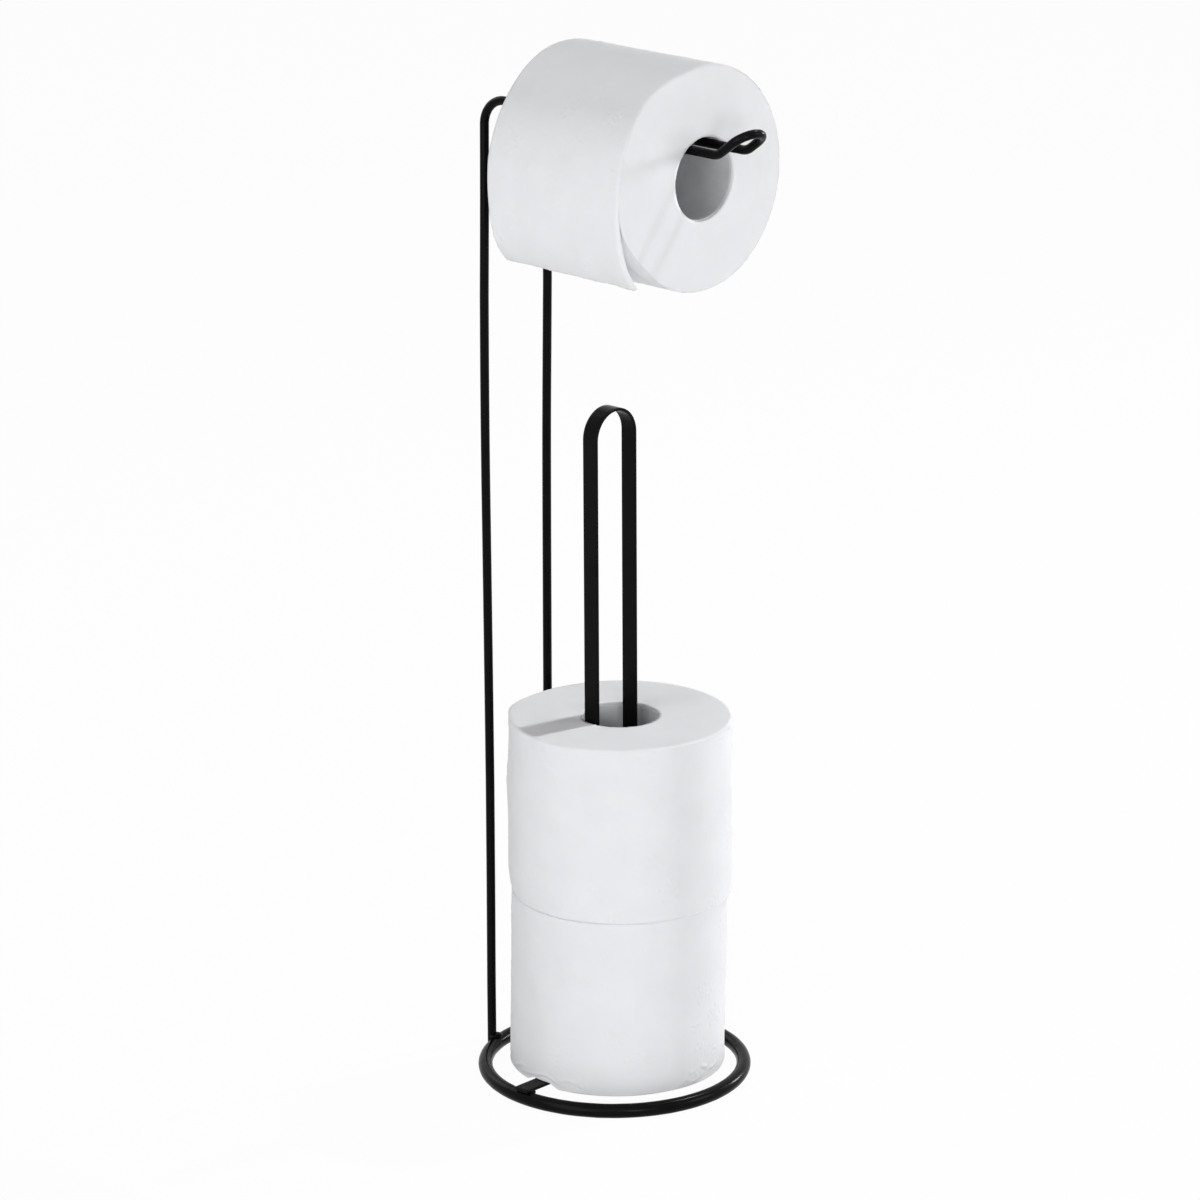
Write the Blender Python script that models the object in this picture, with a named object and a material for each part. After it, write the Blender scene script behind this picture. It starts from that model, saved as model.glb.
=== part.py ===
# Free-standing toilet roll holder of bent steel wire and strip.
# One roll hangs on its arm and two spare rolls stand on its post.
# Metres, +Z up. The holder stands on Z = 0, and its arm points towards -Y.

from math import atan2, ceil, cos, hypot, pi, radians, sin, sqrt, tan

import bmesh
import bpy
from mathutils import Matrix, Vector

# Room left between pieces that touch
touch_gap = 0.0003

# Base ring, of round bar. Its radius follows from the reach of the post's feet, which lie on it
ring_bar_diameter = 0.0080

# Wire frame: two uprights, a neck that drops to the arm, and the arm, all one bent wire
wire_diameter = 0.0050
upright_spacing = 0.0486
upright_outset = 0.0035
upright_foot_height = 0.0030
arm_height = 0.5390
arm_spacing = 0.0188
neck_drop = 0.0112
neck_run = 0.0093
neck_bend_radius = 0.0060
top_bend_radius = 0.0204
top_flat_length = 0.0010
roll_back_clearance = 0.0006
roll_front_clearance = 0.0166

# Tip of the arm, folded up along a line that is a little skewed in plan
fold_radius = 0.0088
fold_angle = radians(39)
fold_skew = radians(11.5)
loop_run = 0.0138

# Post for the spare rolls, one flat strip bent to a hairpin with turned-out feet.
# Its top lies far enough under the arm for a full roll to hang there, and it stands a little
# behind the middle of the ring
post_width = 0.0099
post_thickness = 0.0016
post_leg_spacing = 0.0309
post_setback = 0.0013
post_top_drop = 0.1542
post_foot_reach = 0.0752
post_foot_overhang = 0.0028
post_foot_bend_radius = 0.0032
post_edge_radius = 0.0003

# Weld beads: half their length, width and height, and how far they sink from the face they join
upright_weld_length = 0.0046
upright_weld_width = 0.0036
upright_weld_height = 0.0026
upright_weld_offset = 0.0008
upright_weld_sink_share = 0.2
post_weld_length = 0.0042
post_weld_width = 0.0034
post_weld_height = 0.0026
post_weld_sink_share = 0.33

# Rolls, how far the outside of each keeps within the middle line of the ring's bar, and how much
# lower the undermost one has become under the weight of the next
roll_width = 0.1000
core_inner_radius = 0.0223
core_wall = 0.0007
core_recess = 0.0005
hung_roll_margin = 0.0106
lower_roll_margin = 0.0126
upper_roll_margin = 0.0108
lower_roll_settling = 0.0017
roll_outer_rim_radius = 0.0015
roll_inner_rim_radius = 0.0006

# Where each spare roll stands, as shares of the play between its core and the post
lower_roll_shift_shares = (0.16, -0.56)
upper_roll_shift_shares = (0.66, -0.55)

# Slack outer turns of the hung roll, which stand off it at the front and are pressed in at the
# back. All angles round this roll are measured from its top, towards -X
slack_start_angle = radians(8)
slack_full_angle = radians(50)
slack_end_angle = radians(124)
slack_front_lift = 0.0061
slack_back_lift = -0.0016

# Loose end of the hung roll, the tail of its last turn
sheet_thickness = 0.0008
tail_leave_angle = radians(88)
tail_front_end_angle = radians(133.7)
tail_back_end_angle = radians(138.4)
tail_front_drop = 0.0059
tail_back_drop = 0.0096

# Fineness of the round shapes
ring_steps = 96
ring_bar_sides = 16
wire_bevel_resolution = 4
loop_steps = 16
fold_steps = 14
arc_step = radians(12)
roll_steps = 72
core_steps = 48
rim_steps = 3
tail_steps = 14
weld_segments = 20
weld_rings = 12
edge_segments = 2
sharp_angle = radians(38)

# How far a cutter runs past what it cuts
cut_overrun = 0.0020
same_point = 0.000001

# Colours and roughness of the surfaces
coating_colour = (0.020, 0.020, 0.022, 1)
coating_roughness = 0.42
paper_colour = (0.86, 0.87, 0.89, 1)
paper_roughness = 0.9
core_colour = (0.46, 0.45, 0.44, 1)
core_roughness = 0.85

# Sizes and places that follow from the sizes above
ring_radius = post_foot_reach - post_foot_overhang
ring_bar_radius = ring_bar_diameter / 2
wire_radius = wire_diameter / 2
up = Vector((0, 0, 1))
arm_forward = Vector((0, -1, 0))

frame_height = arm_height + neck_drop
post_height = arm_height - post_top_drop
hung_roll_radius = ring_radius - hung_roll_margin
lower_roll_radius = ring_radius - lower_roll_margin
upper_roll_radius = ring_radius - upper_roll_margin

upright_x = upright_spacing / 2
upright_y = sqrt((ring_radius + upright_outset) ** 2 - upright_x**2)
arm_x = arm_spacing / 2
neck_direction = Vector((arm_x - upright_x, -neck_run, -neck_drop))
neck_tangent = neck_bend_radius * tan(neck_direction.angle(arm_forward) / 2)
neck_y = upright_y - top_bend_radius - top_flat_length - neck_tangent
throat_y = neck_y - neck_run

hung_roll_back_y = throat_y - neck_tangent - roll_back_clearance
core_rest_radius = core_inner_radius - wire_radius - touch_gap
hung_roll_z = arm_height - sqrt(core_rest_radius**2 - arm_x**2)

fold_y = hung_roll_back_y - roll_width - roll_front_clearance
fold_start_y = fold_y + arm_x * tan(fold_skew)
loop_start_y = fold_y - loop_run

post_leg_x = post_leg_spacing / 2
post_foot_bottom_z = ring_bar_diameter + touch_gap
post_foot_z = post_foot_bottom_z + post_thickness / 2
spare_play = core_inner_radius - hypot(post_leg_x + post_thickness / 2, post_width / 2)
lower_roll_z = post_foot_bottom_z + post_thickness + touch_gap
lower_roll_height = roll_width - lower_roll_settling
upper_roll_z = lower_roll_z + lower_roll_height + touch_gap


def clear_scene():
    """Take away whatever objects the file holds."""
    for item in list(bpy.data.objects):
        bpy.data.objects.remove(item, do_unlink=True)


def add_object(name, data, parent=None, location=(0, 0, 0), rotation=(0, 0, 0)):
    """Link a new object, or an empty where there is no data, at its place under its parent."""
    item = bpy.data.objects.new(name, data)
    item.parent = parent
    item.location = location
    item.rotation_euler = rotation
    bpy.context.collection.objects.link(item)
    return item


def paint(item, colour, roughness):
    """Give an object a material of its own. A coated or paper surface isn't metallic."""
    material = bpy.data.materials.new(item.name)
    material.use_nodes = True
    shader = material.node_tree.nodes["Principled BSDF"]
    shader.inputs["Base Color"].default_value = colour
    shader.inputs["Roughness"].default_value = roughness
    shader.inputs["Metallic"].default_value = 0
    item.data.materials.append(material)


def coat(item):
    """Black powder coating on steel."""
    paint(item, coating_colour, coating_roughness)


def make_mesh(name, shape):
    """Turn a bmesh into a smooth-shaded mesh whose faces point outwards."""
    bmesh.ops.recalc_face_normals(shape, faces=shape.faces)
    mesh = bpy.data.meshes.new(name)
    shape.to_mesh(mesh)
    shape.free()
    mesh.shade_smooth()
    mesh.set_sharp_from_angle(angle=sharp_angle)
    return mesh


def turned(name, profile, steps):
    """Spin a closed outline of (radius, height) corners about the Z axis."""
    shape = bmesh.new()
    corners = [shape.verts.new((radius, 0, height)) for radius, height in profile]
    edges = [shape.edges.new(pair) for pair in zip(corners, corners[1:] + corners[:1])]
    bmesh.ops.spin(
        shape, geom=corners + edges, cent=(0, 0, 0), axis=up, angle=2 * pi, steps=steps, use_merge=True
    )
    return make_mesh(name, shape)


def lofted(name, outlines):
    """Join a row of outlines with equal counts of corners, and close both ends."""
    shape = bmesh.new()
    loops = [[shape.verts.new(corner) for corner in outline] for outline in outlines]
    count = len(loops[0])
    for loop, following in zip(loops, loops[1:]):
        for place in range(count):
            beside = (place + 1) % count
            shape.faces.new((loop[place], loop[beside], following[beside], following[place]))
    shape.faces.new(loops[0])
    shape.faces.new(loops[-1])
    return make_mesh(name, shape)


def rounded_path(corners, radii):
    """Points along straight runs through the corners, each inner corner rounded by its radius."""
    points = [corners[0]]
    for before, corner, after, radius in zip(corners, corners[1:], corners[2:], radii):
        into = (corner - before).normalized()
        out = (after - corner).normalized()
        turn = into.angle(out)
        start = corner - into * (radius * tan(turn / 2))
        centre = corner + (out - into).normalized() * (radius / cos(turn / 2))
        steps = ceil(turn / arc_step)
        for step in range(steps + 1):
            swing = Matrix.Rotation(turn * step / steps, 3, into.cross(out))
            points.append(centre + swing @ (start - centre))
    points.append(corners[-1])
    apart = [here for past, here in zip(points, points[1:]) if (here - past).length > same_point]
    return points[:1] + apart


def bent_wire(name, points, diameter):
    """Round wire along a path, with closed ends."""
    curve = bpy.data.curves.new(name, "CURVE")
    curve.dimensions = "3D"
    curve.bevel_depth = diameter / 2
    curve.bevel_resolution = wire_bevel_resolution
    curve.use_fill_caps = True
    spline = curve.splines.new("POLY")
    spline.points.add(len(points) - 1)
    for place, point in zip(spline.points, points):
        place.co = (*point, 1)
    holder = add_object(name, curve)
    seen = bpy.context.evaluated_depsgraph_get()
    mesh = bpy.data.meshes.new_from_object(holder.evaluated_get(seen), depsgraph=seen)
    bpy.data.objects.remove(holder, do_unlink=True)
    bpy.data.curves.remove(curve)
    mesh.shade_smooth()
    mesh.set_sharp_from_angle(angle=sharp_angle)
    return mesh


def bar_ring(name, bar_radius):
    """A ring of round bar, whose many sides lie flat on the floor and on top."""
    corner_radius = bar_radius / cos(pi / ring_bar_sides)
    profile = []
    for side in range(ring_bar_sides):
        angle = 2 * pi * (side + 1 / 2) / ring_bar_sides
        profile.append((ring_radius + corner_radius * cos(angle), corner_radius * sin(angle)))
    return turned(name, profile, ring_steps)


def as_cutter(item):
    """Keep an object out of the model, as a guide for cuts only."""
    item.hide_render = True
    item.display_type = "WIRE"
    return item


def cut(item, cutter):
    """Take the cutter's space out of an object."""
    boolean = item.modifiers.new("Cut " + cutter.name, "BOOLEAN")
    boolean.operation = "DIFFERENCE"
    boolean.object = cutter


def fold_up(point):
    """Where a point of the flat arm goes once its tip is folded up."""
    forward = Vector((-sin(fold_skew), -cos(fold_skew), 0))
    ahead = (point - Vector((0, fold_y, arm_height))).dot(forward)
    if ahead <= 0:
        return point
    curved = min(ahead, fold_radius * fold_angle)
    straight = ahead - curved
    turn = curved / fold_radius
    run = fold_radius * sin(turn) + straight * cos(turn)
    rise = fold_radius * (1 - cos(turn)) + straight * sin(turn)
    return point + forward * (run - ahead) + up * rise


def frame_side(side):
    """The wire's path on one side, from its foot to the start of the loop."""
    corners = [
        Vector((side * upright_x, upright_y, upright_foot_height)),
        Vector((side * upright_x, upright_y, frame_height)),
        Vector((side * upright_x, neck_y, frame_height)),
        Vector((side * arm_x, throat_y, arm_height)),
        Vector((side * arm_x, fold_start_y, arm_height)),
    ]
    points = rounded_path(corners, [top_bend_radius, neck_bend_radius, neck_bend_radius])
    for step in range(1, fold_steps + 1):
        y = fold_start_y + (loop_start_y - fold_start_y) * step / fold_steps
        points.append(Vector((side * arm_x, y, arm_height)))
    return points


def frame_path():
    """The whole wire: up one side, round the loop at the tip and down the other side."""
    loop = []
    for step in range(1, loop_steps):
        angle = pi * step / loop_steps
        loop.append(Vector((-arm_x * cos(angle), loop_start_y - arm_x * sin(angle), arm_height)))
    flat = frame_side(-1) + loop + frame_side(1)[::-1]
    return [fold_up(point) for point in flat]


def post_outlines():
    """Sections of the post's strip along its path, each a rectangle across the strip."""
    top_z = post_height - post_thickness / 2
    corners = [
        Vector((-post_foot_reach, 0, post_foot_z)),
        Vector((-post_leg_x, 0, post_foot_z)),
        Vector((-post_leg_x, 0, top_z)),
        Vector((post_leg_x, 0, top_z)),
        Vector((post_leg_x, 0, post_foot_z)),
        Vector((post_foot_reach, 0, post_foot_z)),
    ]
    foot_bend = post_foot_bend_radius
    path = rounded_path(corners, [foot_bend, post_leg_x, post_leg_x, foot_bend])
    half_width = Vector((0, post_width / 2, 0))
    outlines = []
    for place, point in enumerate(path):
        into = (point - path[max(place - 1, 0)]).normalized()
        out = (path[min(place + 1, len(path) - 1)] - point).normalized()
        along = (into + out).normalized()
        aside = along.cross(Vector((0, 1, 0)))
        spread = post_thickness / 2 / max(along.dot(into), along.dot(out))
        outlines.append(
            [
                point + aside * spread + half_width,
                point + aside * spread - half_width,
                point - aside * spread - half_width,
                point - aside * spread + half_width,
            ]
        )
    return outlines


def rounded_rim(radius, height, inward, upward, rim_radius):
    """Corners round one rim of a roll. Inward and upward say where the roll's body lies."""
    centre_radius = radius + inward * rim_radius
    centre_height = height + upward * rim_radius
    corners = []
    for step in range(rim_steps + 1):
        angle = pi / 2 * step / rim_steps
        across = -inward * rim_radius * cos(angle)
        along = -upward * rim_radius * sin(angle)
        corners.append((centre_radius + across, centre_height + along))
    return corners


def roll_paper(name, radius, height):
    """Wound paper between its bore and its outer radius, standing on its own origin's height."""
    bore = core_inner_radius + core_wall + touch_gap
    profile = rounded_rim(radius, 0, -1, 1, roll_outer_rim_radius)[::-1]
    profile += rounded_rim(radius, height, -1, -1, roll_outer_rim_radius)
    profile += rounded_rim(bore, height, 1, -1, roll_inner_rim_radius)[::-1]
    profile += rounded_rim(bore, 0, 1, 1, roll_inner_rim_radius)
    return turned(name, profile, roll_steps)


def roll_core(name, height):
    """Cardboard tube inside a roll of a height, a little shorter than the roll at both ends."""
    outer = core_inner_radius + core_wall
    low = core_recess
    high = height - core_recess
    profile = [(core_inner_radius, low), (outer, low), (outer, high), (core_inner_radius, high)]
    return turned(name, profile, core_steps)


def smooth(share):
    """A share from 0 to 1 that starts and ends gently."""
    share = min(max(share, 0), 1)
    return share * share * (3 - 2 * share)


def slack(angle, lift):
    """How far the slack turns under the tail stand off the roll at an angle round it."""
    angle %= 2 * pi
    rising = smooth((angle - slack_start_angle) / (slack_full_angle - slack_start_angle))
    falling = smooth((angle - tail_leave_angle) / (slack_end_angle - tail_leave_angle))
    return lift * rising * (1 - falling)


def loose_roll_outline(slack_lift, end_angle, drop, height):
    """Outline of the hung roll across its axis, whose outermost turn comes away as a tail."""
    pitch = sheet_thickness + touch_gap
    places = []
    for step in range(roll_steps + 1):
        share = step / roll_steps
        angle = tail_leave_angle - 2 * pi * share
        places.append((angle, hung_roll_radius - pitch * share + slack(angle, slack_lift)))
    inner = []
    outer = []
    for step in range(tail_steps + 1):
        share = step / tail_steps
        angle = tail_leave_angle + (end_angle - tail_leave_angle) * share
        lift = slack_lift + drop * smooth(share)
        inner.append((angle, hung_roll_radius - sheet_thickness + lift))
        outer.append((angle, hung_roll_radius + lift))
    places += inner + outer[:0:-1]
    return [Vector((-radius * sin(angle), radius * cos(angle), height)) for angle, radius in places]


def hung_paper(name):
    """The hung roll's paper with its loose end, bored later for its core."""
    back = loose_roll_outline(slack_back_lift, tail_back_end_angle, tail_back_drop, 0)
    front = loose_roll_outline(slack_front_lift, tail_front_end_angle, tail_front_drop, roll_width)
    return lofted(name, [back, front])


def weld_bead(name, length, width, height):
    """A rounded bead, long along X, before its neighbours are cut out of it."""
    shape = bmesh.new()
    size = Matrix.Diagonal((length, width, height, 1))
    bmesh.ops.create_uvsphere(
        shape, u_segments=weld_segments, v_segments=weld_rings, radius=1, matrix=size
    )
    return make_mesh(name, shape)


def make_stand(centre, path):
    """The welded steel stand: ring, frame, post and the beads that join them."""
    ring_height = (0, 0, ring_bar_radius)
    coat(add_object("base_ring", bar_ring("base_ring", ring_bar_radius), centre, ring_height))
    ring_space = as_cutter(
        add_object(
            "ring_space", bar_ring("ring_space", ring_bar_radius + touch_gap), centre, ring_height
        )
    )

    frame = add_object("wire_frame", bent_wire("wire_frame", path, wire_diameter), centre)
    coat(frame)
    cut(frame, ring_space)

    post_place = (0, post_setback, 0)
    post = add_object(
        "spare_roll_post", lofted("spare_roll_post", post_outlines()), centre, post_place
    )
    coat(post)
    edges = post.modifiers.new("Rolled edges", "BEVEL")
    edges.width = post_edge_radius
    edges.segments = edge_segments
    edges.limit_method = "ANGLE"
    edges.angle_limit = radians(60)

    make_upright_welds(centre, ring_space)
    make_post_welds(centre, ring_space)


def make_upright_welds(centre, ring_space):
    """A bead at the foot of each upright, on the ring's crown at the inner side of the wire."""
    weld_radius = ring_radius + upright_weld_offset
    weld_z = ring_bar_diameter - upright_weld_height * upright_weld_sink_share
    outward = atan2(upright_x, upright_y)
    for name, side in (("left", -1), ("right", 1)):
        foot = Vector((side * upright_x, upright_y, 0))
        wire_space = as_cutter(
            add_object(
                "wire_space_" + name,
                bent_wire(
                    "wire_space_" + name,
                    [foot, foot + up * (ring_bar_diameter + upright_weld_height + cut_overrun)],
                    wire_diameter + 2 * touch_gap,
                ),
                centre,
            )
        )
        place = (side * weld_radius * sin(outward), weld_radius * cos(outward), weld_z)
        bead = weld_bead(
            "upright_weld_" + name, upright_weld_length, upright_weld_width, upright_weld_height
        )
        weld = add_object("upright_weld_" + name, bead, centre, place, (0, 0, -side * outward))
        coat(weld)
        cut(weld, ring_space)
        cut(weld, wire_space)


def make_post_welds(centre, ring_space):
    """A bead under each foot of the post, against the inner side of the ring."""
    weld_x = ring_radius - ring_bar_radius
    weld_z = post_foot_bottom_z - post_weld_height * post_weld_sink_share
    strip_room = bmesh.new()
    strip_size = (2 * (post_foot_reach + cut_overrun), post_width + 2 * cut_overrun, post_height)
    bmesh.ops.create_cube(strip_room, size=1, matrix=Matrix.Diagonal((*strip_size, 1)))
    strip_space = as_cutter(
        add_object(
            "strip_space",
            make_mesh("strip_space", strip_room),
            centre,
            (0, post_setback, post_foot_bottom_z - touch_gap + post_height / 2),
        )
    )
    for name, side in (("left", -1), ("right", 1)):
        bead = weld_bead("post_weld_" + name, post_weld_width, post_weld_length, post_weld_height)
        place = (side * weld_x, post_setback, weld_z)
        weld = add_object("post_weld_" + name, bead, centre, place)
        coat(weld)
        cut(weld, ring_space)
        cut(weld, strip_space)


def make_spare_roll(name, centre, radius, height, foot_z, shift_shares):
    """A spare roll on the post, free to be lifted off."""
    x, y = [share * spare_play for share in shift_shares]
    axis = add_object(name + "_axis", None, centre, (x, post_setback + y, foot_z))
    paper = add_object(name + "_paper", roll_paper(name + "_paper", radius, height), axis)
    paint(paper, paper_colour, paper_roughness)
    core = add_object(name + "_core", roll_core(name + "_core", height), axis)
    paint(core, core_colour, core_roughness)


def make_hung_roll(centre):
    """The roll on the arm, whose axis is its own, just under the arm's wires."""
    place = (0, hung_roll_back_y, hung_roll_z)
    axis = add_object("hung_roll_axis", None, centre, place, (pi / 2, 0, 0))
    paper = add_object("hung_roll_paper", hung_paper("hung_roll_paper"), axis)
    paint(paper, paper_colour, paper_roughness)
    bore = core_inner_radius + core_wall + touch_gap
    room = bmesh.new()
    bmesh.ops.create_cone(
        room,
        cap_ends=True,
        segments=core_steps,
        radius1=bore,
        radius2=bore,
        depth=roll_width + 2 * cut_overrun,
    )
    middle = (0, 0, roll_width / 2)
    core_space = add_object("core_space", make_mesh("core_space", room), axis, middle)
    cut(paper, as_cutter(core_space))
    core = add_object("hung_roll_core", roll_core("hung_roll_core", roll_width), axis)
    paint(core, core_colour, core_roughness)


def make_holder():
    """Everything, with the middle of the holder's length over the origin."""
    clear_scene()
    path = frame_path()
    arm_reach = wire_radius - min(point.y for point in path)
    ring_reach = ring_radius + ring_bar_radius
    centre = add_object("stand_centre", None, location=(0, (arm_reach - ring_reach) / 2, 0))
    make_stand(centre, path)
    make_spare_roll(
        "lower_roll",
        centre,
        lower_roll_radius,
        lower_roll_height,
        lower_roll_z,
        lower_roll_shift_shares,
    )
    make_spare_roll(
        "upper_roll", centre, upper_roll_radius, roll_width, upper_roll_z, upper_roll_shift_shares
    )
    make_hung_roll(centre)


make_holder()
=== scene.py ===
# Looks of the free-standing toilet roll holder with three paper rolls.
# Metres, +Z up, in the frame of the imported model. Angles round a spare roll run from +X towards
# +Y, and round the hung roll from its top towards -X. All unevenness comes from seeded waves and
# noise textures, so every run gives the same picture.

from math import cos, pi, radians, sin, tan

import bpy
import numpy as np
from mathutils import Matrix, Vector


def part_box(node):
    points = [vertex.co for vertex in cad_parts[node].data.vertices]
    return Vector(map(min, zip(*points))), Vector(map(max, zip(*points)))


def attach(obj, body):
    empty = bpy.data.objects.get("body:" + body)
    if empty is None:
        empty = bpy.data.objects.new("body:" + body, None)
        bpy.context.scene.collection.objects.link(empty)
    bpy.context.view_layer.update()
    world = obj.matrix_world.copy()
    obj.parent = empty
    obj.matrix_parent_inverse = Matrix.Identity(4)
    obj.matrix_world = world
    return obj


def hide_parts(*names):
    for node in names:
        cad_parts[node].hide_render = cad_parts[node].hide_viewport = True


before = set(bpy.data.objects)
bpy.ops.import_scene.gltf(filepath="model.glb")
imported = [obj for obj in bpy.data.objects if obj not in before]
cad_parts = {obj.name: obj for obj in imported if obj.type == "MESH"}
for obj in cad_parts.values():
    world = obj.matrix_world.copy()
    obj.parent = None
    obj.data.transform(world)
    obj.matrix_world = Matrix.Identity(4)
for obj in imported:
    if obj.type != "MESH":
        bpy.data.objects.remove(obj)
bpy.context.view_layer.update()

# Places and sizes read from the frame
ring_low, ring_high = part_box("base_ring")
frame_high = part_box("wire_frame")[1]
post_low, post_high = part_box("spare_roll_post")
bar_radius = (ring_high[2] - ring_low[2]) / 2
ring_radius = (ring_high[0] - ring_low[0]) / 2 - bar_radius
stand_y = (ring_low[1] + ring_high[1]) / 2
post_y = (post_low[1] + post_high[1]) / 2

# Ring: its unevenness, the ground joint of its two ends at the back, and its gap to the floor
ring_unevenness = 0.00002
ring_joint_half = 0.0012
ring_joint_depth = 0.00012
ring_floor_gap = 0.00002

# Wire of the frame
wire_radius = 0.0025
wire_unevenness = 0.000007
upright_x = frame_high[0] - wire_radius
upright_y = frame_high[1] - wire_radius
upright_foot_z = 0.0016
arm_height = 0.5390
arm_x = 0.0094
neck_drop = 0.0112
neck_run = 0.0093
neck_bend_radius = 0.0060
top_bend_radius = 0.0150
top_flat_length = 0.0064
cap_bulge = 0.35

# The fold of the arm's tip, how far it lies from the hung roll's back, and the loop beyond it
fold_reach = 0.1166
fold_radius = 0.0088
fold_angle = radians(39)
fold_skew = radians(11.5)
loop_run = 0.0138

# How the real uprights are sprung out of their straight lines, which fades along the top flats
frame_lean = 0.0016
frame_lean_start = 0.33
frame_lean_end = 0.52
frame_bow_heights = (0.0, 0.04, 0.10, 0.16, 0.22, 0.30, 0.36, 0.40, 0.44, 0.50, 0.56)
frame_bow_sizes = (
    0.0, 0.0, -0.0004, -0.0006, -0.0004, 0.0, 0.0004, 0.0007, 0.0009, 0.0004, -0.0003,
)
spring_fade_start = 0.040
spring_fade_run = 0.030

# Post
post_width = post_high[1] - post_low[1]
post_thickness = 0.0016
post_leg_x = 0.01545
post_top_z = post_high[2] - post_thickness / 2
post_reach = post_high[0]
post_foot_z = post_low[2] + post_thickness / 2
post_foot_bend_radius = 0.0032
post_top_bend_radius = post_leg_x - 0.0001
post_edge_radius = 0.0003
post_lean_share = 0.0010

# Weld beads: how much of their solid's box they fill, and their lumps and ripples
weld_fill = 0.92
weld_lumps = 0.025
weld_ripples = 0.012

# Rolls
core_inner_radius = 0.0223
core_wall = 0.0007
hung_roll_radius = 0.0615
lower_roll_radius = 0.0598
upper_roll_radius = 0.0616
hung_rim_radius = 0.0009
pressed_rim_radius = 0.00030
free_rim_radius = 0.0014
standing_rim_radius = 0.0009
sheet_thickness = 0.0003

# How far the inner turns reach in over the ends of the cores, and how far down the cores end
bore_lip = 0.0010
hung_bore_lip = 0.0003
bore_lip_depth = 0.0010
lip_torn_share = 0.25

# Where the upper roll's bore is squashed
lip_lobe = 0.0022
lip_lobe_angle = radians(124)
lip_lobe_half = 0.35

# How far each spare roll stands out on its -X side, at shares of its height
bulge_shares = (0.0, 0.04, 0.12, 0.25, 0.42, 0.60, 0.64, 0.80, 0.94, 1.0)
lower_bulge_sizes = (
    0.0002, 0.0005, 0.0004, 0.0, -0.0004, -0.0008, -0.0009, -0.0010, -0.0012, -0.0016,
)
upper_bulge_sizes = (
    -0.0015, -0.0002, 0.0006, 0.0005, 0.0003, 0.0009, 0.0007, -0.0002, -0.0006, -0.0010,
)

# How far they stand out on the side that faces right in the photo, at those shares
lower_right_sizes = (
    0.0004, 0.0005, 0.0006, 0.0009, 0.0013, 0.0017, 0.0018, 0.0019, 0.0019, 0.0017,
)
upper_right_sizes = (
    0.0008, 0.0009, 0.0009, 0.0008, 0.0008, 0.0008, 0.0008, 0.0007, 0.0005, 0.0003,
)
left_side_angle = radians(140)
right_side_angle = radians(312)
side_half_angle = 1.1
fullness = 0.0002

# Where the upper roll's rim is pushed out
rim_lobe = 0.0018
rim_lobe_angle = radians(117)
rim_lobe_half = 0.21
rim_lobe_start = 0.91
rim_lobe_run = 0.05

# Small folds in the sides: middle and half width in degrees, height, slant a radian, depth
lower_creases = (
    (176, 13, 0.0032, 0.004, 0.00055),
    (196, 9, 0.0050, -0.006, 0.00035),
    (158, 8, 0.0046, 0.008, 0.00035),
    (288, 9, 0.0060, 0.014, 0.00030),
    (300, 6, 0.0105, -0.018, 0.00030),
    (268, 2.4, 0.0330, 0.020, 0.00035),
    (286, 2.2, 0.0133, 0.010, 0.00035),
    (275, 2.6, 0.0076, -0.020, 0.00040),
    (266, 2.2, 0.0063, 0.012, 0.00035),
    (268, 4.0, 0.0026, 0.012, 0.00030),
    (257, 4.0, 0.0022, 0.010, 0.00030),
)
upper_creases = (
    (298, 12, 0.0974, 0.006, 0.00060),
    (186, 7, 0.0880, 0.006, 0.00030),
    (296, 8, 0.0040, 0.008, 0.00030),
)
crease_width = 0.0007
crease_wander = 0.0007
crease_wander_crests = 23
crease_hollow_share = 0.8
crease_hollow_place = 1.7
crease_fade_start = 0.0045
crease_fade_run = 0.002

# How the lower roll's soft end rests on the foot of the post and sinks down beside it
foot_settling = 0.0002
sinking = 0.0025
sinking_height = 0.014
sinking_clearance = 0.0004
sinking_run = 0.008

# How the upper roll's soft end settles into the seam between both rolls
seam_settling = 0.0003
seam_settling_height = 0.006
seam_unevenness = 0.25

# The hung roll's slack outer turns and its loose end, as angles from its top towards -X
turn_pitch = 0.0005
slack_start_angle = radians(8)
slack_full_angle = radians(50)
slack_fall_angle = radians(99)
slack_end_angle = radians(138)
slack_face_run = 0.07
slack_behind_angle = radians(14)
slack_front_lift = 0.0061
slack_back_lift = -0.0016
back_bulge = 0.0015
back_bulge_angle = radians(88)
back_bulge_half = radians(13)
tail_leave_angle = radians(88)
tail_front_end_angle = radians(133.7)
tail_back_end_angle = radians(138.4)
tail_front_drop = 0.0059
tail_back_drop = 0.0096
last_turn_start_angle = radians(84 - 360)

# How far the wound body lies below its last sheet, from where the sheet has started
sheet_clearance = 0.0001
covered_start = radians(60)
covered_run = radians(50)

# Edges of the last sheet: how far they curl in and over what width, and how its end is torn
sheet_edge_curl = 0.0005
sheet_curl_width = 0.0016
tail_curl_width = 0.0012
tail_curl_growth = 1.4
tear_depth = 0.00025

# Embossing pressed into the sheet. A mark's strength runs from the faint share up to full.
emboss_depth = 0.00035
emboss_level = 0.7
emboss_spacing = 0.0220
emboss_faint_share = 0.08
petal_length = 0.0026
petal_width = 0.0013
petal_offset = 0.0042
petal_edge = 0.45
dot_radius = 0.0008
dot_height = 1.3
dot_places = ((0, 0), (0.30, 0), (-0.30, 0.06), (0.02, 0.28))

# The small unevenness of soft wound paper
roundness_waves = 0.00018
side_waves = 0.00016
side_ripples = 0.000012
end_waves = 0.00014
end_limit = 0.0002
turn_ridges = 0.000007
turn_ridge_spacing = 0.0012
sheet_waves = 0.00010
sheet_ripples = 0.000015
tail_waves = 0.0003

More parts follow.
